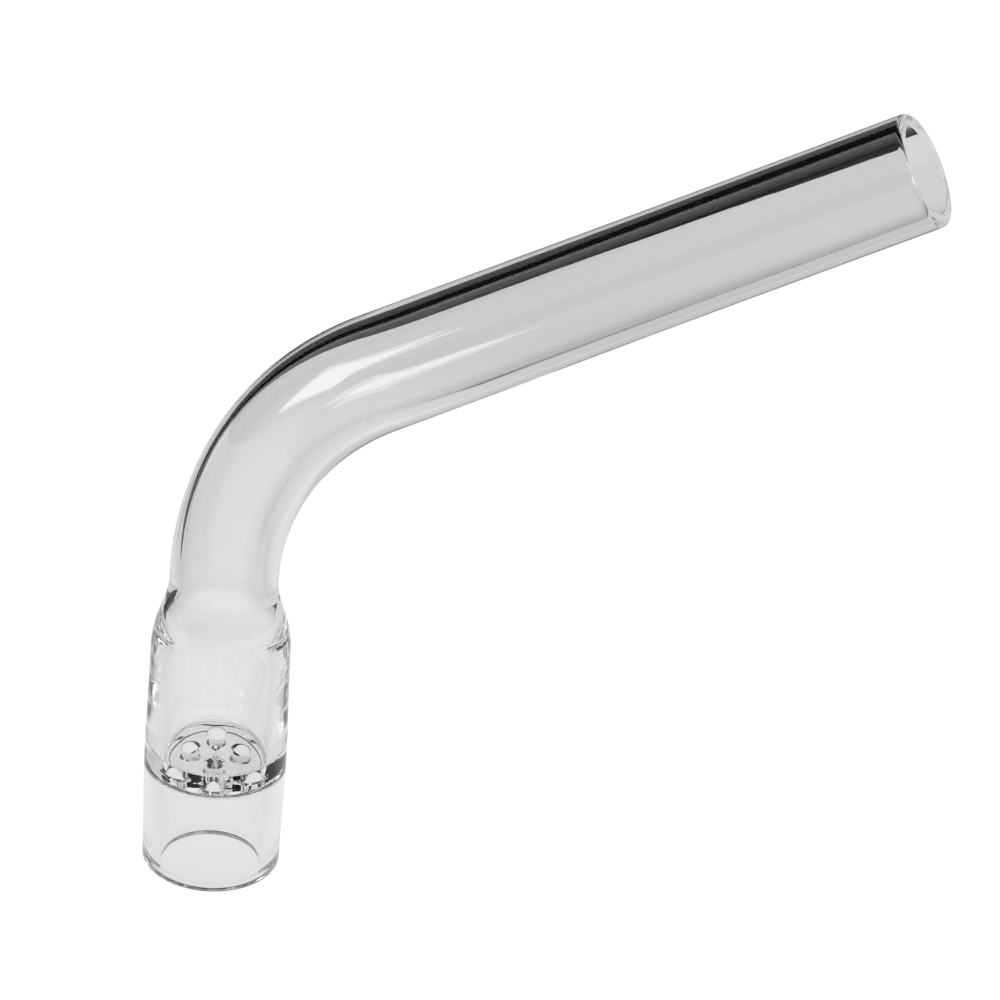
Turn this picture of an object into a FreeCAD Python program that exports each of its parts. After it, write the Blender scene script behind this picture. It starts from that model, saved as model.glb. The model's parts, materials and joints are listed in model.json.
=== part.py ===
import FreeCAD, Part
import math
import os

# A bent glass stem: four pieces of clear glass, flame-sealed end to end.
# Millimetres. +Z runs up the axis of the plug and chamber, and the arm leans towards +X.
# The origin is the centre of the plug's open end.

os.makedirs("parts", exist_ok=True)

# Plug sleeve: the short open tube below the disc, which goes into a socket
PLUG_R = 8.9            # outer radius of the cylindrical end
PLUG_CYL_TOP = 7.5      # the outside is a true cylinder up to here, then it flares
PLUG_BORE_R = 6.5
RIM_OUTER_ROUND = 0.9   # fire-polished rim: rounding on the outside
RIM_INNER_ROUND = 0.8   # and on the inside

# Ring seal: the weld between the two tubes, at the level of the disc
SEAM_Z = 14.8
SEAM_R = 9.2
SEAM_ROUND = 0.25       # each tube's outer edge is melted round, which leaves a fine groove

# Screen disc: pierced, with its edge melted into the bore
DISC_BOTTOM = 14.0
DISC_TOP = 16.9
HOLE_R = 1.1
HOLE_RING_R = 3.25
HOLE_COUNT = 4
HOLE_TURN = 8.0         # degrees from +X to the first hole
CENTRE_HOLE_R = 0.4
SEAL_FILLET = 0.7       # meniscus of glass between the disc and the wall
SEAL_EDGE = 0.1         # thickness left at the meniscus's thin edge

# Chamber tube: from the seam up to the drawn-down neck
CHAMBER_BORE_R = 6.75
SHOULDER_Z = 32.0
SHOULDER_R = 9.0
NECK_Z = 42.4
NECK_R = 7.0
NECK_BORE_R = 5.2
SHOULDER_ARC = 14.0     # radius of the convex arc where the shoulder starts
NECK_ARC = 12.0         # radius of the concave arc where it runs into the neck
BORE_WIDENS_Z = 19.0    # from here the bore widens a little, up to the shoulder
INNER_SHOULDER_Z = 35.0
INNER_SHOULDER_R = 7.1
INNER_SHOULDER_ARC = 6.5
INNER_NECK_ARC = 8.0

# Stem tube: bend in two arcs, then the straight arm to the open mouth
BEND_RADII = (39.5, 35.0)
BEND_HALF_TURN = 30.0   # degrees turned by each arc
STEM_R = 7.6            # outer radius where the bend ends
STEM_BORE_R = 5.65      # the arm's bore is one true cylinder
TAPER_LENGTH = 50.0     # the arm narrows over this length
MOUTH_R = 7.4
MOUTH_LENGTH = 26.5     # the last stretch is a true cylinder on the outside
ARM_LENGTH = TAPER_LENGTH + MOUTH_LENGTH
MOUTH_OUTER_ROUND = 0.75
MOUTH_INNER_ROUND = 0.6
SECTIONS_PER_ARC = 6

UP = FreeCAD.Vector(0, 0, 1)
CENTRE = FreeCAD.Vector(0, 0, 0)


def point(radius, height):
    """A point of a profile that is turned about Z."""
    return FreeCAD.Vector(radius, 0, height)


def turned(edges):
    """The solid that a closed profile in the XZ plane makes when it turns about Z."""
    face = Part.Face(Part.Wire(edges))
    return face.revolve(CENTRE, UP, 360)


def line(start, end):
    return Part.LineSegment(start, end).toShape()


def rounded_corner(before, corner, after, radius):
    """The arc that rounds a profile's corner, with the points where it starts and ends."""
    into = (before - corner).normalize()
    out = (after - corner).normalize()
    half = into.getAngle(out) / 2
    reach = radius / math.tan(half)
    centre = corner + (into + out).normalize() * (radius / math.sin(half))
    start = corner + into * reach
    end = corner + out * reach
    middle = centre + (corner - centre).normalize() * radius
    return start, Part.Arc(start, middle, end).toShape(), end


def profile(corners):
    """A closed chain of lines through (radius, height, rounding) corners, with arcs at the rounded ones."""
    points = [point(radius, height) for radius, height, _ in corners]
    count = len(corners)
    stops = []
    for index, (_, _, rounding) in enumerate(corners):
        here = points[index]
        if rounding:
            before = points[index - 1]
            after = points[(index + 1) % count]
            stops.append(rounded_corner(before, here, after, rounding))
        else:
            stops.append((here, None, here))
    edges = []
    for index, (_, arc, end) in enumerate(stops):
        if arc:
            edges.append(arc)
        next_start = stops[(index + 1) % count][0]
        if (next_start - end).Length > 1e-6:
            edges.append(line(end, next_start))
    return edges


def plug_sleeve():
    """The open cup. The disc sits on a narrow ledge inside its top."""
    corners = [
        (PLUG_BORE_R, 0, RIM_INNER_ROUND),
        (PLUG_R, 0, RIM_OUTER_ROUND),
        (PLUG_R, PLUG_CYL_TOP, 0),
        (SEAM_R, SEAM_Z, SEAM_ROUND),
        (CHAMBER_BORE_R, SEAM_Z, 0),
        (CHAMBER_BORE_R, DISC_BOTTOM - SEAL_FILLET, 0),
        (PLUG_BORE_R, DISC_BOTTOM - SEAL_FILLET, 0),
    ]
    return turned(profile(corners))


def s_curve(low_r, low_z, high_r, high_z, low_arc, high_arc):
    """Edges of a tube wall that narrows upwards: convex arc, straight slope, concave arc."""
    arcs = low_arc + high_arc
    across = arcs - (low_r - high_r)
    rise = high_z - low_z
    # the slope's angle s satisfies across * cos(s) + rise * sin(s) = arcs
    slope = math.atan2(rise, across) - math.acos(arcs / math.hypot(across, rise))
    sine, cosine = math.sin(slope), math.cos(slope)
    half_sine, half_cosine = math.sin(slope / 2), math.cos(slope / 2)
    start = point(low_r, low_z)
    bulge = point(low_r - low_arc * (1 - half_cosine), low_z + low_arc * half_sine)
    leave = point(low_r - low_arc * (1 - cosine), low_z + low_arc * sine)
    meet = point(high_r + high_arc * (1 - cosine), high_z - high_arc * sine)
    hollow = point(high_r + high_arc * (1 - half_cosine), high_z - high_arc * half_sine)
    end = point(high_r, high_z)
    return [
        Part.Arc(start, bulge, leave).toShape(),
        line(leave, meet),
        Part.Arc(meet, hollow, end).toShape(),
    ]


def chamber_tube():
    outside = s_curve(SHOULDER_R, SHOULDER_Z, NECK_R, NECK_Z, SHOULDER_ARC, NECK_ARC)
    arcs = (INNER_SHOULDER_ARC, INNER_NECK_ARC)
    inside = s_curve(INNER_SHOULDER_R, INNER_SHOULDER_Z, NECK_BORE_R, NECK_Z, *arcs)
    seam_outer = point(SEAM_R, SEAM_Z)
    seam_inner = point(CHAMBER_BORE_R, SEAM_Z)
    shoulder = point(SHOULDER_R, SHOULDER_Z)
    start, seam_arc, end = rounded_corner(seam_inner, seam_outer, shoulder, SEAM_ROUND)
    edges = [line(seam_inner, start), seam_arc, line(end, shoulder)]
    edges += outside
    edges += [line(point(NECK_R, NECK_Z), point(NECK_BORE_R, NECK_Z))]
    edges += inside
    widens = point(CHAMBER_BORE_R, BORE_WIDENS_Z)
    edges += [line(point(INNER_SHOULDER_R, INNER_SHOULDER_Z), widens), line(widens, seam_inner)]
    return turned(Part.__sortEdges__(edges))


def meniscus(edge_r, face_z, towards):
    """The concave arc from the thin edge by the bore wall to the disc's face, with its ends."""
    wall = point(edge_r, face_z + towards * SEAL_FILLET)
    face = point(edge_r - SEAL_FILLET, face_z)
    diagonal = SEAL_FILLET * math.sqrt(0.5)
    centre = point(edge_r - SEAL_FILLET, face_z + towards * SEAL_FILLET)
    middle = centre + FreeCAD.Vector(diagonal, 0, -towards * diagonal)
    return wall, Part.Arc(wall, middle, face).toShape(), face


def screen_disc():
    top_wall, top_arc, top_face = meniscus(CHAMBER_BORE_R - SEAL_EDGE, DISC_TOP, 1)
    low_wall, low_arc, low_face = meniscus(PLUG_BORE_R, DISC_BOTTOM, -1)
    low_edge = point(CHAMBER_BORE_R, low_wall.z)
    top_edge = point(CHAMBER_BORE_R, top_wall.z)
    edges = [
        line(point(0, DISC_BOTTOM), low_face),
        low_arc,
        line(low_wall, low_edge),
        line(low_edge, top_edge),
        line(top_edge, top_wall),
        top_arc,
        line(top_face, point(0, DISC_TOP)),
        line(point(0, DISC_TOP), point(0, DISC_BOTTOM)),
    ]
    disc = turned(edges)
    places = [(CENTRE_HOLE_R, 0, 0)]
    for index in range(HOLE_COUNT):
        angle = math.radians(HOLE_TURN + 360 * index / HOLE_COUNT)
        places.append((HOLE_R, HOLE_RING_R * math.cos(angle), HOLE_RING_R * math.sin(angle)))
    for radius, x, y in places:
        start = FreeCAD.Vector(x, y, DISC_BOTTOM - 1)
        disc = disc.cut(Part.makeCylinder(radius, DISC_TOP - DISC_BOTTOM + 2, start, UP))
    return disc.Solids[0]


def bend_stations():
    """Points of the bend's centreline: (x, z, tilt in degrees, share of the bend's length)."""
    stations = [(0.0, NECK_Z, 0.0, 0.0)]
    total = sum(BEND_RADII)
    done = 0.0
    for radius in BEND_RADII:
        x0, z0, tilt0, _ = stations[-1]
        a0 = math.radians(tilt0)
        for step in range(1, SECTIONS_PER_ARC + 1):
            tilt = tilt0 + BEND_HALF_TURN * step / SECTIONS_PER_ARC
            a1 = math.radians(tilt)
            x = x0 + radius * (math.cos(a0) - math.cos(a1))
            z = z0 + radius * (math.sin(a1) - math.sin(a0))
            share = (done + radius * step / SECTIONS_PER_ARC) / total
            stations.append((x, z, tilt, share))
        done += radius
    return stations


def loft(stations, start_r, end_r):
    """A solid through round sections along the bend. Its radius eases from one end's to the other's."""
    sections = []
    for x, z, tilt, share in stations:
        ease = share * share * (3 - 2 * share)
        circle = Part.Wire(Part.Circle(CENTRE, UP, start_r + (end_r - start_r) * ease).toShape())
        turn = FreeCAD.Rotation(FreeCAD.Vector(0, 1, 0), tilt)
        circle.Placement = FreeCAD.Placement(FreeCAD.Vector(x, 0, z), turn)
        sections.append(circle)
    return Part.makeLoft(sections, True, False)


def straight_arm(place):
    """The arm, modelled upright from the bend's end to the mouth, then put in place."""
    corners = [
        (STEM_BORE_R, 0, 0),
        (STEM_R, 0, 0),
        (MOUTH_R, TAPER_LENGTH, 0),
        (MOUTH_R, ARM_LENGTH, MOUTH_OUTER_ROUND),
        (STEM_BORE_R, ARM_LENGTH, MOUTH_INNER_ROUND),
    ]
    arm = turned(profile(corners))
    arm.Placement = place
    return arm


def stem_tube():
    stations = bend_stations()
    x, z, tilt, _ = stations[-1]
    turn = FreeCAD.Rotation(FreeCAD.Vector(0, 1, 0), tilt)
    arm = straight_arm(FreeCAD.Placement(FreeCAD.Vector(x, 0, z), turn))
    bend = loft(stations, NECK_R, STEM_R).cut(loft(stations, NECK_BORE_R, STEM_BORE_R))
    return bend.fuse(arm).Solids[0]


def write(name, shape):
    if not shape.isValid() or len(shape.Solids) != 1:
        raise ValueError(name + " is not one valid solid")
    shape.exportStep("parts/" + name + ".step")
    print(name, round(shape.Volume, 1), "mm3")


write("plug_sleeve", plug_sleeve())
write("screen_disc", screen_disc())
write("chamber_tube", chamber_tube())
write("stem_tube", stem_tube())
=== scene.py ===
import json
import math

import bpy
import numpy as np
from mathutils import Matrix, Vector
from mathutils.geometry import delaunay_2d_cdt

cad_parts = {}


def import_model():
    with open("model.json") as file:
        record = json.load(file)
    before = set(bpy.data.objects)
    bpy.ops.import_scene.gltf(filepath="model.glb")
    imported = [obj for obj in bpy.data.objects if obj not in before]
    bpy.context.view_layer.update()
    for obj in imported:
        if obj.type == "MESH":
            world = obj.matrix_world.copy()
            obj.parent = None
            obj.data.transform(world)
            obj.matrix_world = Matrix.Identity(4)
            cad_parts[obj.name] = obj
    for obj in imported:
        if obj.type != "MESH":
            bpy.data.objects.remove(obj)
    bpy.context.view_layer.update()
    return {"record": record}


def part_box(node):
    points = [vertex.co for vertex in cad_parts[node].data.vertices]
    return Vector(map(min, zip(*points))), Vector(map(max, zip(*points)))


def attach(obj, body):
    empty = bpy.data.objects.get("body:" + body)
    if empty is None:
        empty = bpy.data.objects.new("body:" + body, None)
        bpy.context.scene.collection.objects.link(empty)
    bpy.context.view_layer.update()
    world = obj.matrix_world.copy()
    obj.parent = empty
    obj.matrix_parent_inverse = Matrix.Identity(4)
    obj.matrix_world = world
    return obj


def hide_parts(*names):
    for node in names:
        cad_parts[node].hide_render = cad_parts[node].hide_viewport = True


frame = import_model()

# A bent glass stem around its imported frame: four fused pieces of clear glass.
# Lengths are millimetres until a mesh or an object is made. MM turns them into metres.
# A place on a tube is (s, r): s along the tubes' common axis from the plug's open end, r from that axis.

MM = 0.001
MOUNTS = {mount["name"]: mount for mount in frame["record"]["mounts"]}


def mount_radius(name):
    return MOUNTS[name]["dims"]["r_mm"]


def top_of(node):
    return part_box(node)[1].z / MM


def bottom_of(node):
    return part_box(node)[0].z / MM


# Plug sleeve
PLUG_R = mount_radius("plug")
PLUG_BORE_R = mount_radius("plug_bore")
PLUG_CYL_TOP = 7.5
RIM_OUTER_ROUND = 0.9
RIM_INNER_ROUND = 0.8

# Ring seal and disc
SEAM_Z = top_of("plug_sleeve")
SEAM_R = 9.2
SEAM_ROUND = 0.25
SEAL_LOW = bottom_of("screen_disc")
SEAL_HIGH = top_of("screen_disc")
SEAL_FILLET = 0.7
DISC_BOTTOM = SEAL_LOW + SEAL_FILLET
DISC_TOP = SEAL_HIGH - SEAL_FILLET
FEATHER = 0.01          # what is left of the meniscus where it runs out on the wall
HOLE_R = 1.1
HOLE_RING_R = 3.25
HOLE_COUNT = 4
HOLE_TURN = 8.0
CENTRE_HOLE_R = 0.4
HOLE_LIP = 0.35         # melted rounding round each hole
CENTRE_LIP = 0.25
SHARP_FROM = math.radians(50)
DOME = 0.16             # how far the middle of each face stands out
LUMPS = 0.02

# Chamber
CHAMBER_BORE_R = 6.75
SHOULDER_Z = 32.0
SHOULDER_R = 9.0
INNER_SHOULDER_Z = 35.0
INNER_SHOULDER_R = 7.1  # drawing the shoulder down leaves the wall thinnest here
NECK_Z = top_of("chamber_tube")
NECK_R = 7.0
NECK_BORE_R = 5.2
SHOULDER_ARC = 14.0
NECK_ARC = 12.0
INNER_SHOULDER_ARC = 6.5
INNER_NECK_ARC = 8.0
BORE_WIDENS_Z = 19.0

# Stem
BEND_RADII = (39.5, 35.0)
BEND_HALF_TURN = math.radians(30)
BEND_LENGTH = sum(BEND_RADII) * BEND_HALF_TURN
BEND_END = NECK_Z + BEND_LENGTH
STEM_R = 7.6
STEM_BORE_R = mount_radius("mouth_bore")
BORE_SHIFT = 0.6        # bending thins the outer wall, so the bore lies nearer to the outside of the bend
SHIFT_END = BEND_END + 8
TAPER_LENGTH = 50.0
MOUTH_R = mount_radius("mouth")
ARM_LENGTH = 76.5
MOUTH_S = BEND_END + ARM_LENGTH
MOUTH_OUTER_ROUND = 0.75
MOUTH_INNER_ROUND = 0.6

AROUND = 192            # vertices round each tube
AROUND_HOLE = 48        # and round each hole of the disc
ARC_STEPS = 8           # rings on a small rounded edge
CURVE_STEPS = 16        # rings on each arc of a shoulder
LIP_STEPS = 6           # rings on a hole's lip
FACE_SPACING = 0.35     # between the points on the disc's faces, in mm
GLASS, BORE, JOINT = range(3)       # material slots: the outside, the inside, and where two pieces are fused


def smoothstep(share):
    return share * share * (3 - 2 * share)


# --- profiles
# A wall is (stops, material). A stop is (s, r, along_s, along_r): a place and the direction of travel there.

def line(start, end, step=1.0):
    """Stops on a straight wall, no further apart than step."""
    start, end = np.array(start, float), np.array(end, float)
    length = np.linalg.norm(end - start)
    along = (end - start) / length
    count = max(1, math.ceil(length / step))
    return [(*(start + (end - start) * i / count), *along) for i in range(count + 1)]


def arc(centre, radius, first, last, count):
    """Stops on an arc. The angles are in degrees from the direction of s towards r."""
    way = 1 if last > first else -1
    stops = []
    for angle in np.radians(np.linspace(first, last, count + 1)):
        across, up = math.cos(angle), math.sin(angle)
        place = (centre[0] + radius * across, centre[1] + radius * up)
        stops.append((*place, -way * up, way * across))
    return stops


def rounded(before, corner, after, radius):
    """The rounding of a corner: where it starts, its stops and where it ends."""
    before, corner, after = (np.array(p, float) for p in (before, corner, after))
    into = (before - corner) / np.linalg.norm(before - corner)
    out = (after - corner) / np.linalg.norm(after - corner)
    half = math.acos(np.clip(into @ out, -1, 1)) / 2
    reach = radius / math.tan(half)
    middle = (into + out) / np.linalg.norm(into + out)
    centre = corner + middle * radius / math.sin(half)
    start, end = corner + into * reach, corner + out * reach
    first = math.atan2(*(start - centre)[::-1])
    sweep = math.atan2(*(end - centre)[::-1]) - first
    sweep = (sweep + math.pi) % (2 * math.pi) - math.pi
    stops = arc(centre, radius, math.degrees(first), math.degrees(first + sweep), ARC_STEPS)
    return tuple(start), stops, tuple(end)


def s_curve(low, high, low_arc, high_arc):
    """Stops up a wall that narrows: convex arc, straight slope, concave arc."""
    (low_s, low_r), (high_s, high_r) = low, high
    arcs = low_arc + high_arc
    across = arcs - (low_r - high_r)
    rise = high_s - low_s
    slope = math.degrees(math.atan2(rise, across) - math.acos(arcs / math.hypot(across, rise)))
    convex = arc((low_s, low_r - low_arc), low_arc, 90, 90 - slope, CURVE_STEPS)
    concave = arc((high_s, high_r + high_arc), high_arc, 270 - slope, 270, CURVE_STEPS)
    middle = line(convex[-1][:2], concave[0][:2])
    return convex[:-1] + middle[:-1] + concave


def backwards(stops):
    return [(s, r, -along_s, -along_r) for s, r, along_s, along_r in reversed(stops)]


def eased(first_s, last_s, first_r, last_r, step):
    """Stops on a wall whose radius eases from one value to the other."""
    count = math.ceil((last_s - first_s) / step)
    stops = []
    for i in range(count + 1):
        share = i / count
        slope = 6 * share * (1 - share) * (last_r - first_r) / (last_s - first_s)
        size = math.hypot(1, slope)
        radius = first_r + (last_r - first_r) * smoothstep(share)
        stops.append((first_s + (last_s - first_s) * share, radius, 1 / size, slope / size))
    return stops


# --- meshes

def axis_at(s):
    """Place (x, z), tilt and curvature of the tubes' axis at s."""
    if s <= NECK_Z:
        return 0.0, s, 0.0, 0.0
    x, z, tilt, left = 0.0, NECK_Z, 0.0, s - NECK_Z
    for radius in BEND_RADII:
        turn = min(left / radius, BEND_HALF_TURN)
        x += radius * (math.cos(tilt) - math.cos(tilt + turn))
        z += radius * (math.sin(tilt + turn) - math.sin(tilt))
        tilt += turn
        left -= turn * radius
        if left < 1e-9:
            return x, z, tilt, 1 / radius
    return x + left * math.sin(tilt), z + left * math.cos(tilt), tilt, 0.0


def bore_shift(s):
    """How far the bore lies off the tube's axis, towards the outside of the bend."""
    rise = min(max((s - NECK_Z) / (BEND_LENGTH / 2), 0), 1)
    fall = min(max((SHIFT_END - s) / (SHIFT_END - BEND_END + BEND_LENGTH / 2), 0), 1)
    return BORE_SHIFT * smoothstep(min(rise, fall))


def ring(stop):
    """A profile stop turned round the axis: its points, normals and places on the straightened tube."""
    s, r, along_s, along_r = stop
    x, z, tilt, curvature = axis_at(s)
    if along_s < 0:     # the walls that run back along the axis are the bore's
        x -= bore_shift(s) * math.cos(tilt)
        z += bore_shift(s) * math.sin(tilt)
    turn = np.linspace(0, 2 * math.pi, AROUND, endpoint=False)
    side = np.array([math.cos(tilt), 0, -math.sin(tilt)])
    ahead = np.array([math.sin(tilt), 0, math.cos(tilt)])
    outward = np.outer(np.cos(turn), side) + np.outer(np.sin(turn), (0, 1, 0))
    points = np.array([x, 0, z]) + r * outward
    stretch = 1 - curvature * r * np.cos(turn)
    normals = outward * (along_s * stretch)[:, None] - ahead * along_r
    normals /= np.linalg.norm(normals, axis=1)[:, None]
    straight = np.column_stack([r * np.cos(turn), r * np.sin(turn), np.full(AROUND, s)])
    return points, normals, straight


def tube(name, walls, materials):
    """A closed tube from the loop of its walls. Each wall keeps its own normals, so its ends can be sharp."""
    points, straight, faces, normals, slots = [], [], [], [], []
    total = sum(len(stops) - 1 for stops, _ in walls)
    here = np.arange(AROUND)
    after = (here + 1) % AROUND
    done = 0
    for stops, material in walls:
        rings = [ring(stop) for stop in stops]
        for low, high in zip(rings, rings[1:]):
            points.append(low[0])
            straight.append(low[2])
            base, above = done * AROUND, (done + 1) % total * AROUND
            faces.append(np.column_stack([base + here, base + after, above + after, above + here]))
            normals.append(np.stack([low[1], low[1][after], high[1][after], high[1]], axis=1))
            slots.append(np.full(AROUND, material))
            done += 1
    mesh = bpy.data.meshes.new(name)
    mesh.from_pydata((np.concatenate(points) * MM).tolist(), [], np.concatenate(faces).tolist())
    mesh.polygons.foreach_set("use_smooth", np.ones(len(mesh.polygons), bool))
    mesh.polygons.foreach_set("material_index", np.concatenate(slots).astype(np.int32))
    mesh.normals_split_custom_set(np.concatenate(normals).reshape(-1, 3).tolist())
    store_straight(mesh, np.concatenate(straight))
    for material in materials:
        mesh.materials.append(material)
    return piece(name, mesh)


def store_straight(mesh, places):
    """Keeps where each vertex lies on the straightened tube, so that draw lines follow the bend."""
    stored = mesh.attributes.new("straight", "FLOAT_VECTOR", "POINT")
    stored.data.foreach_set("vector", (places * MM).astype(np.float32).ravel())


def piece(name, mesh):
    made = bpy.data.objects.new(name, mesh)
    bpy.context.scene.collection.objects.link(made)
    return made


# --- the four pieces

def plug_glass(materials):
    """The open cup below the seam, with a fire-polished rim."""
    foot_outer, foot_inner = (0, PLUG_R), (0, PLUG_BORE_R)
    flare, seam = (PLUG_CYL_TOP, PLUG_R), (SEAM_Z, SEAM_R)
    rim_in, rim_arc, rim_out = rounded(foot_inner, foot_outer, flare, RIM_OUTER_ROUND)
    seam_start, seam_arc, seam_end = rounded(flare, seam, (SEAM_Z, CHAMBER_BORE_R), SEAM_ROUND)
    ledge = (SEAL_LOW, PLUG_BORE_R)
    bore_in, bore_arc, bore_out = rounded(ledge, foot_inner, foot_outer, RIM_INNER_ROUND)
    walls = [
        (rim_arc, GLASS),
        (eased(rim_out[0], seam_start[0], PLUG_R, seam_start[1], 0.5), GLASS),
        (seam_arc, GLASS),
        (line(seam_end, (SEAM_Z, CHAMBER_BORE_R)), JOINT),
        (line((SEAM_Z, CHAMBER_BORE_R), (SEAL_LOW, CHAMBER_BORE_R), 0.25), JOINT),
        (line((SEAL_LOW, CHAMBER_BORE_R), ledge), JOINT),
        (line(ledge, bore_in, 0.5), BORE),
        (bore_arc, BORE),
        (line(bore_out, rim_in), GLASS),
    ]
    return tube("plug_glass", walls, materials)


def chamber_glass(materials):
    """The wide tube above the seam, drawn down to the neck."""
    seam, shoulder = (SEAM_Z, SEAM_R), (SHOULDER_Z, SHOULDER_R)
    inner_seam = (SEAM_Z, CHAMBER_BORE_R)
    start, seam_arc, end = rounded(inner_seam, seam, shoulder, SEAM_ROUND)
    outside = s_curve(shoulder, (NECK_Z, NECK_R), SHOULDER_ARC, NECK_ARC)
    inner_shoulder, inner_neck = (INNER_SHOULDER_Z, INNER_SHOULDER_R), (NECK_Z, NECK_BORE_R)
    inside = s_curve(inner_shoulder, inner_neck, INNER_SHOULDER_ARC, INNER_NECK_ARC)
    walls = [
        (line(inner_seam, start), JOINT),
        (seam_arc, GLASS),
        (eased(end[0], SHOULDER_Z, end[1], SHOULDER_R, 0.5), GLASS),
        (outside, GLASS),
        (line((NECK_Z, NECK_R), (NECK_Z, NECK_BORE_R)), JOINT),
        (backwards(inside), BORE),
        (backwards(eased(BORE_WIDENS_Z, INNER_SHOULDER_Z, CHAMBER_BORE_R, INNER_SHOULDER_R, 0.25)), BORE),
        (line((BORE_WIDENS_Z, CHAMBER_BORE_R), (SEAL_HIGH, CHAMBER_BORE_R), 0.5), BORE),
        (line((SEAL_HIGH, CHAMBER_BORE_R), inner_seam, 0.25), JOINT),
    ]
    return tube("chamber_glass", walls, materials)


def stem_glass(materials):
    """The bend and the straight arm, open at the mouth."""
    taper_end = BEND_END + TAPER_LENGTH
    before, after = (taper_end, MOUTH_R), (taper_end, STEM_BORE_R)
    outer, inner = (MOUTH_S, MOUTH_R), (MOUTH_S, STEM_BORE_R)
    outer_in, outer_arc, outer_out = rounded(before, outer, inner, MOUTH_OUTER_ROUND)
    inner_in, inner_arc, inner_out = rounded(outer, inner, after, MOUTH_INNER_ROUND)
    walls = [
        (eased(NECK_Z, BEND_END, NECK_R, STEM_R, 0.5), GLASS),
        (eased(BEND_END, taper_end, STEM_R, MOUTH_R, 1.0), GLASS),
        (line(before, outer_in), GLASS),
        (outer_arc, GLASS),
        (line(outer_out, inner_in), GLASS),
        (inner_arc, BORE),
        (line(inner_out, (BEND_END, STEM_BORE_R), 0.5), BORE),
        (backwards(eased(NECK_Z, BEND_END, NECK_BORE_R, STEM_BORE_R, 0.5)), BORE),
        (line((NECK_Z, NECK_BORE_R), (NECK_Z, NECK_R)), JOINT),
    ]
    return tube("stem_glass", walls, materials)


def hole_places():
    """(x, y, radius, lip) of the disc's holes."""
    places = [(0.0, 0.0, CENTRE_HOLE_R, CENTRE_LIP)]
    for index in range(HOLE_COUNT):
        angle = math.radians(HOLE_TURN + 360 * index / HOLE_COUNT)
        places.append((HOLE_RING_R * math.cos(angle), HOLE_RING_R * math.sin(angle), HOLE_R, HOLE_LIP))
    return places


def circle(x, y, radius, count):
    turn = np.linspace(0, 2 * math.pi, count, endpoint=False)
    return np.column_stack([x + radius * np.cos(turn), y + radius * np.sin(turn)])


def face_of_disc(rings):
    """Points and triangles between the disc's outer ring, rings[0], and the rings round its holes."""
    points, edges = [], []
    for loop in rings:
        first = len(points)
        points += [tuple(p) for p in loop]
        edges += [(first + i, first + (i + 1) % len(loop)) for i in range(len(loop))]
    outer_r = np.linalg.norm(rings[0][0])
    holes = [(loop.mean(axis=0), np.linalg.norm(loop[0] - loop.mean(axis=0))) for loop in rings[1:]]
    steps = math.ceil(outer_r / FACE_SPACING)       # an even triangular grid fills the face
    for row in range(-steps, steps + 1):
        for column in range(-steps, steps + 1):
            spot = np.array([(column + row % 2 / 2) * FACE_SPACING, row * FACE_SPACING * 0.866])
            inside = np.linalg.norm(spot) < outer_r - FACE_SPACING * 0.6
            if inside and all(np.linalg.norm(spot - c) > r + FACE_SPACING * 0.5 for c, r in holes):
                points.append(tuple(spot))
    _, _, found, origins, _, _ = delaunay_2d_cdt([Vector(p) for p in points], edges, [], 0, 1e-6)
    corners = [np.array(points[numbers[0]]) for numbers in origins]
    triangles = []      # without those that have all their corners round one hole, which would close it
    for face in found:
        if not any(all(np.linalg.norm(corners[i] - c) < r * 1.001 for i in face) for c, r in holes):
            triangles.append(tuple(face))
    return corners, triangles


def surface_lift(x, y, edge_r):
    """The disc's faces aren't flat: a shallow dome with soft lumps, in mm, which ends at the face's edge."""
    share = math.hypot(x, y) / edge_r
    fade = max(0.0, 1 - share * share)
    lumps = math.sin(1.7 * x + 0.6) * math.cos(1.4 * y - 0.5) + 0.5 * math.sin(2.6 * y - 1.1 * x)
    return fade * (DOME + LUMPS * lumps)


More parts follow.
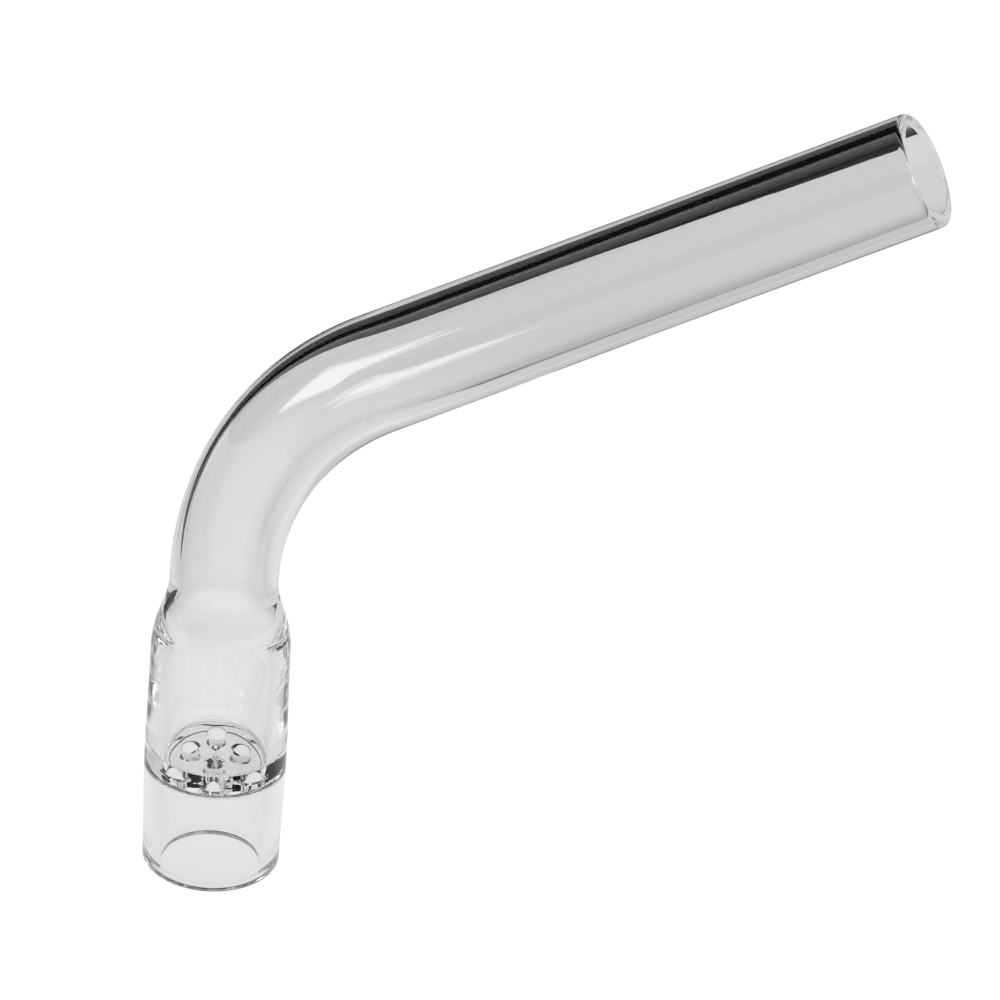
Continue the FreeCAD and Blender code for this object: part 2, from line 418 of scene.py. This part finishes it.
def disc_glass(materials):
    """The pierced disc: two wavy faces, melted hole lips, shafts, and a meniscus up and down the wall."""
    points, faces, slots = [], [], []
    lookup = {}

    def corner(x, y, z):
        """The number of the vertex here. Rows that meet share their vertices."""
        key = (round(x, 4), round(y, 4), round(z, 4))
        if key not in lookup:
            lookup[key] = len(points)
            points.append((x, y, z))
        return lookup[key]

    def band(low, high, material):
        """Quads between two closed rows. They face outwards where high lies above low."""
        for i in range(len(low)):
            j = (i + 1) % len(low)
            faces.append((low[i], low[j], high[j], high[i]))
            slots.append(material)

    high_wall_r = CHAMBER_BORE_R - FEATHER
    holes = hole_places()
    sides = ((-1, DISC_BOTTOM, PLUG_BORE_R - SEAL_FILLET), (1, DISC_TOP, high_wall_r - SEAL_FILLET))
    for side, z, face_r in sides:
        rings = [circle(0, 0, face_r, AROUND)]
        rings += [circle(x, y, r + lip, AROUND_HOLE) for x, y, r, lip in holes]
        corners, triangles = face_of_disc(rings)
        numbers = [corner(x, y, z + side * surface_lift(x, y, face_r)) for x, y in corners]
        for triangle in triangles:
            a, b, c = (corners[i] for i in triangle)
            counter = (b[0] - a[0]) * (c[1] - a[1]) - (b[1] - a[1]) * (c[0] - a[0]) > 0
            order = triangle if counter == (side > 0) else triangle[::-1]
            faces.append(tuple(numbers[i] for i in order))
            slots.append(GLASS)

    for x, y, r, lip in holes:
        rows = []
        for side, z, face_r in sides:
            for turn in np.radians(np.linspace(0, 90, LIP_STEPS + 1))[::-side]:
                loop = circle(x, y, r + lip * (1 - math.sin(turn)), AROUND_HOLE)
                drop, share = lip * (1 - math.cos(turn)), math.cos(turn) ** 2
                rows.append([corner(px, py, z + side * (surface_lift(px, py, face_r) * share - drop))
                             for px, py in loop])
        for low, high in zip(rows, rows[1:]):
            band(high, low, GLASS)

    def outer_row(r, z):
        return [corner(x, y, z) for x, y in circle(0, 0, r, AROUND)]

    meniscus = []       # (distance from the wall, distance from the face)
    for turn in np.radians(np.linspace(0, 90, ARC_STEPS + 1)):
        meniscus.append((SEAL_FILLET * (1 - math.sin(turn)), SEAL_FILLET * (1 - math.cos(turn))))
    low_rows = [outer_row(PLUG_BORE_R - inset, DISC_BOTTOM - fall) for inset, fall in meniscus]
    high_rows = [outer_row(high_wall_r - inset, DISC_TOP + fall) for inset, fall in meniscus]
    for inner, outer in zip(low_rows, low_rows[1:]):
        band(inner, outer, GLASS)
    for inner, outer in zip(high_rows, high_rows[1:]):
        band(outer, inner, GLASS)
    heights = [s for s, *_ in line((SEAL_LOW, 0), (SEAM_Z, 0), 0.25)]
    heights += [s for s, *_ in line((SEAM_Z, 0), (SEAL_HIGH, 0), 0.25)][1:]
    edge = [outer_row(CHAMBER_BORE_R, z) for z in heights]
    band(low_rows[-1], edge[0], JOINT)
    for low, high in zip(edge, edge[1:]):
        band(low, high, JOINT)
    band(edge[-1], high_rows[-1], JOINT)

    mesh = bpy.data.meshes.new("disc_glass")
    mesh.from_pydata([(x * MM, y * MM, z * MM) for x, y, z in points], [], faces)
    mesh.polygons.foreach_set("use_smooth", np.ones(len(faces), bool))
    mesh.polygons.foreach_set("material_index", np.array(slots, np.int32))
    mesh.set_sharp_from_angle(angle=SHARP_FROM)
    store_straight(mesh, np.array(points))
    for material in materials:
        mesh.materials.append(material)
    return piece("disc_glass", mesh)


# --- materials

def new_material(name):
    material = bpy.data.materials.new(name)
    material.use_nodes = True
    material.node_tree.nodes.clear()
    return material, material.node_tree


def add(tree, kind, **settings):
    node = tree.nodes.new(kind)
    for name, value in settings.items():
        setattr(node, name, value)
    return node


def noise(tree, vector, scale, detail):
    """Soft noise. scale is its waves per metre."""
    node = add(tree, "ShaderNodeTexNoise")
    node.inputs["Scale"].default_value = scale
    node.inputs["Detail"].default_value = detail
    tree.links.new(vector, node.inputs["Vector"])
    return node.outputs["Fac"]


def ranged(tree, value, low, high, to_low, to_high):
    """Takes low..high to to_low..to_high and holds it there at the ends."""
    node = add(tree, "ShaderNodeMapRange")
    for name, number in (("From Min", low), ("From Max", high), ("To Min", to_low), ("To Max", to_high)):
        node.inputs[name].default_value = number
    tree.links.new(value, node.inputs["Value"])
    return node.outputs["Result"]


GLASS_TINT = (0.975, 0.98, 0.98)
GLASS_IOR = 1.47        # borosilicate
PATCH_SHADE = 0.975     # the tint's darker patches
DRAWN_SQUEEZE = 0.03    # draw lines are this much finer across the tube than along it
DRAWN_SCALE, RIPPLE_SCALE, HAZE_SCALE, PATCH_SCALE = 900, 160, 110, 60
HAZE_FROM, HAZE_TO = 0.5, 0.75      # of the noise, between which the haze sets in


def glass(name, haze, lines, ripple):
    """Clear glass. haze is its patchy roughness, lines the depth of its draw lines in mm
    and ripple the depth of its slow waves in mm."""
    material, tree = new_material(name)
    place = add(tree, "ShaderNodeAttribute", attribute_name="straight")
    squeeze = add(tree, "ShaderNodeMapping")
    squeeze.inputs["Scale"].default_value = (1, 1, DRAWN_SQUEEZE)
    tree.links.new(place.outputs["Vector"], squeeze.inputs["Vector"])
    drawn = noise(tree, squeeze.outputs["Vector"], DRAWN_SCALE, 3)
    slow = noise(tree, place.outputs["Vector"], RIPPLE_SCALE, 1)
    fine_bump = add(tree, "ShaderNodeBump")
    fine_bump.inputs["Distance"].default_value = lines * MM
    tree.links.new(drawn, fine_bump.inputs["Height"])
    slow_bump = add(tree, "ShaderNodeBump")
    slow_bump.inputs["Distance"].default_value = ripple * MM
    tree.links.new(slow, slow_bump.inputs["Height"])
    tree.links.new(fine_bump.outputs["Normal"], slow_bump.inputs["Normal"])
    patches = noise(tree, place.outputs["Vector"], HAZE_SCALE, 6)
    roughness = ranged(tree, patches, HAZE_FROM, HAZE_TO, 0.0, haze)
    colours = add(tree, "ShaderNodeValToRGB")
    colours.color_ramp.elements[0].color = (*[c * PATCH_SHADE for c in GLASS_TINT], 1)
    colours.color_ramp.elements[1].color = (*GLASS_TINT, 1)
    tree.links.new(noise(tree, place.outputs["Vector"], PATCH_SCALE, 4), colours.inputs["Fac"])
    shader = add(tree, "ShaderNodeBsdfPrincipled")
    shader.inputs["Transmission Weight"].default_value = 1
    shader.inputs["IOR"].default_value = GLASS_IOR
    tree.links.new(colours.outputs["Color"], shader.inputs["Base Color"])
    tree.links.new(roughness, shader.inputs["Roughness"])
    tree.links.new(slow_bump.outputs["Normal"], shader.inputs["Normal"])
    output = add(tree, "ShaderNodeOutputMaterial")
    tree.links.new(shader.outputs["BSDF"], output.inputs["Surface"])
    return material


def joint():
    """Where two pieces are fused, light goes straight on."""
    material, tree = new_material("fused_joint")
    clear = add(tree, "ShaderNodeBsdfTransparent")
    output = add(tree, "ShaderNodeOutputMaterial")
    tree.links.new(clear.outputs["BSDF"], output.inputs["Surface"])
    return material


def glowing(name, strength):
    """A material that gives off even white light."""
    material, tree = new_material(name)
    glow = add(tree, "ShaderNodeEmission")
    glow.inputs["Strength"].default_value = strength
    output = add(tree, "ShaderNodeOutputMaterial")
    tree.links.new(glow.outputs["Emission"], output.inputs["Surface"])
    return material, tree, glow


# --- the stage, in metres

FLOOR_R = 2.0
FLOOR_SIDES = 96
FLOOR_Z = -0.0006
FLOOR_GLOW = 1.06       # a little past white, as the photo's background is


def round_sheet(name, height):
    mesh = bpy.data.meshes.new(name)
    edge = circle(0, 0, FLOOR_R, FLOOR_SIDES)
    mesh.from_pydata([(x, y, height) for x, y in edge], [], [tuple(range(FLOOR_SIDES))])
    return mesh


def floor():
    """A plain pale sheet, lit evenly."""
    mesh = round_sheet("floor", FLOOR_Z)
    material, _, _ = glowing("pale_sheet", FLOOR_GLOW)
    mesh.materials.append(material)
    piece("floor", mesh)


PAPER_Z = FLOOR_Z + 0.0002
# painted shade: the sheet glows less at the front than at the back
PAPER_FRONT, PAPER_BACK = 0.60, 0.70
PAPER_STEP = (0.07, 0.14)       # Y over which the front's strength turns into the back's
PAPER_LIGHT_POOL = 0.28             # painted pool of light, added at the brightest spot, which is longer than wide
PAPER_SPOT = (-0.002, 0.029, 0)     # its place once Y is squashed
PAPER_SPOT_R = 0.075
PAPER_SQUASH = (1.0, 0.7, 0.0)


def paper():
    """What the glass sees of the floor: a glowing sheet a little darker than the sheet, with painted shade
    towards the front and a painted pool of light, lightest behind the object's foot.
    """
    mesh = round_sheet("paper", PAPER_Z)
    material, tree, glow = glowing("painted_light_sheet", 1.0)
    place = add(tree, "ShaderNodeTexCoord")
    split = add(tree, "ShaderNodeSeparateXYZ")
    tree.links.new(place.outputs["Object"], split.inputs[0])
    depth = ranged(tree, split.outputs["Y"], *PAPER_STEP, PAPER_FRONT, PAPER_BACK)
    squash = add(tree, "ShaderNodeVectorMath", operation="MULTIPLY")
    squash.inputs[1].default_value = PAPER_SQUASH
    tree.links.new(place.outputs["Object"], squash.inputs[0])
    away = add(tree, "ShaderNodeVectorMath", operation="DISTANCE")
    away.inputs[1].default_value = PAPER_SPOT
    tree.links.new(squash.outputs[0], away.inputs[0])
    spot = ranged(tree, away.outputs["Value"], 0.0, PAPER_SPOT_R, PAPER_LIGHT_POOL, 0.0)
    spot.node.interpolation_type = "SMOOTHSTEP"
    total = add(tree, "ShaderNodeMath", operation="ADD")
    tree.links.new(depth, total.inputs[0])
    tree.links.new(spot, total.inputs[1])
    tree.links.new(total.outputs[0], glow.inputs["Strength"])
    mesh.materials.append(material)
    sheet = piece("paper", mesh)
    sheet.visible_camera = False


def card(name, corners, strength):
    """A card that only the glass sees."""
    mesh = bpy.data.meshes.new(name)
    mesh.from_pydata(corners, [], [tuple(range(len(corners)))])
    material, _, _ = glowing(name, strength)
    mesh.materials.append(material)
    made = piece(name, mesh)
    made.visible_camera = False
    made.visible_shadow = False


def fence(name, feet, low, high, strength):
    """Cards side by side on a row of feet."""
    for number, (start, end) in enumerate(zip(feet, feet[1:])):
        card(f"{name}_{number}", [(*start, low), (*end, low), (*end, high), (*start, high)], strength)


CARD_HIGH = 0.36
CARD_FOOT = ((0.060, 0.300), (0.018, 0.295), (-0.028, 0.296), (-0.155, 0.215), (-0.122, 0.148),
             (-0.094, 0.088), (-0.080, 0.045))
CARD_BLACK = 0.004

FRONT_SHADOW_Z = FLOOR_Z + 0.0004
FRONT_SHADOW_CORNERS = ((0.015, -0.04), (0.12, -0.04), (0.12, 0.009), (0.045, 0.009))
# painted shadow: the arm's shadow on the floor, glowing grey, seen only in the glass
FRONT_SHADOW_GREY = 0.15

PALE_CARD_R = 0.34
PALE_CARD_LOW = 0.10
PALE_CARD_TURN = (20, 76)       # degrees from +X
PALE_CARD_COUNT = 6
PALE_CARD_GLOW = 0.6


def cards():
    """Black cards behind the object on its left draw the dark band along the arm's top. A grey sheet on the
    floor in front, a painted shadow of the arm that only the glass sees, draws the thin line along its lower
    side. Pale ones behind on the right lighten the left end of the ring seal."""
    fence("card", CARD_FOOT, FLOOR_Z, CARD_HIGH, CARD_BLACK)
    card("painted_shadow_front", [(*corner, FRONT_SHADOW_Z) for corner in FRONT_SHADOW_CORNERS], FRONT_SHADOW_GREY)
    turns = np.radians(np.linspace(*PALE_CARD_TURN, PALE_CARD_COUNT + 1))
    feet = [(PALE_CARD_R * math.cos(turn), PALE_CARD_R * math.sin(turn)) for turn in turns]
    fence("pale_card", feet, PALE_CARD_LOW, CARD_HIGH, PALE_CARD_GLOW)


SOFTBOX_AIM = Vector((18, -6, 79)) * MM     # on the bend
SOFTBOX_AZIMUTH, SOFTBOX_ELEVATION = math.radians(-143.5), math.radians(18.0)
SOFTBOX_ROLL = math.radians(18.8)
SOFTBOX_AWAY = 0.100
SOFTBOX_SIZE = (0.040, 0.056)
SOFTBOX_GLOW = 4        # radiance, so its power is this times pi times its area


def direction(azimuth, elevation):
    level = math.cos(elevation)
    return Vector((level * math.cos(azimuth), level * math.sin(azimuth), math.sin(elevation)))


def softbox():
    """One rectangular light to the left of the camera. The bend mirrors it twice."""
    way = direction(SOFTBOX_AZIMUTH, SOFTBOX_ELEVATION)
    light = bpy.data.lights.new("softbox", "AREA")
    light.shape = "RECTANGLE"
    light.size, light.size_y = SOFTBOX_SIZE
    light.energy = SOFTBOX_GLOW * math.pi * light.size * light.size_y
    lamp = bpy.data.objects.new("softbox", light)
    bpy.context.scene.collection.objects.link(lamp)
    lamp.location = SOFTBOX_AIM + way * SOFTBOX_AWAY
    across = Vector((0, 0, 1)).cross(way).normalized()
    upright = way.cross(across)
    square = Matrix((across, upright, way)).transposed()
    turn = Matrix.Rotation(SOFTBOX_ROLL, 3, way) @ square
    lamp.rotation_euler = turn.to_euler()
    lamp.visible_camera = False


ROOM_GLOW = 0.03


def world():
    """A dim, even room."""
    made = bpy.data.worlds.new("room")
    made.use_nodes = True
    back = made.node_tree.nodes["Background"]
    back.inputs["Color"].default_value = (1, 1, 1, 1)
    back.inputs["Strength"].default_value = ROOM_GLOW
    bpy.context.scene.world = made


CAMERA_AIM = Vector((34.76, -0.72, 59.42)) * MM
CAMERA_AWAY = 1.0313
CAMERA_HEADING, CAMERA_DROP = math.radians(96.73), math.radians(30.19)
CAMERA_ROLL = math.radians(3.936)
CAMERA_LENS, CAMERA_SENSOR = 294.5, 36
CAMERA_NEAR = 0.05


def camera():
    """Looks down at the object from slightly to its right, a long way off."""
    way = direction(CAMERA_HEADING, -CAMERA_DROP)
    data = bpy.data.cameras.new("camera")
    data.sensor_width = CAMERA_SENSOR
    data.lens = CAMERA_LENS
    data.clip_start = CAMERA_NEAR
    eye = bpy.data.objects.new("camera", data)
    bpy.context.scene.collection.objects.link(eye)
    turn = Matrix.Rotation(CAMERA_ROLL, 3, -way) @ way.to_track_quat("-Z", "Y").to_matrix()
    eye.matrix_world = Matrix.Translation(CAMERA_AIM - way * CAMERA_AWAY) @ turn.to_4x4()
    bpy.context.scene.camera = eye


def build():
    """The four pieces, each in place of its node of the record, which is hidden."""
    outer = glass("tube_glass", haze=0.03, lines=0.004, ripple=0.01)
    inner = glass("bore_glass", haze=0.05, lines=0.004, ripple=0.01)
    fused = joint()
    pressed = glass("pressed_glass", haze=0.05, lines=0.0, ripple=0.03)
    made = (
        (stem_glass([outer, inner, fused]), "stem_tube", "clear_glass"),
        (chamber_glass([outer, inner, fused]), "chamber_tube", "clear_glass"),
        (plug_glass([outer, inner, fused]), "plug_sleeve", "clear_glass"),
        (disc_glass([pressed, pressed, fused]), "screen_disc", "disc_glass"),
    )
    for thing, node, slot in made:
        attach(thing, "root")
        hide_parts(node)


build()
floor()
paper()
cards()
softbox()
world()
camera()
scene = bpy.context.scene
scene.view_settings.view_transform = "Standard"
# light runs round inside the thick rims many times before it leaves
scene.cycles.max_bounces = 256
scene.cycles.transmission_bounces = 256
scene.cycles.glossy_bounces = 256
scene.cycles.transparent_max_bounces = 256
bpy.context.view_layer.update()
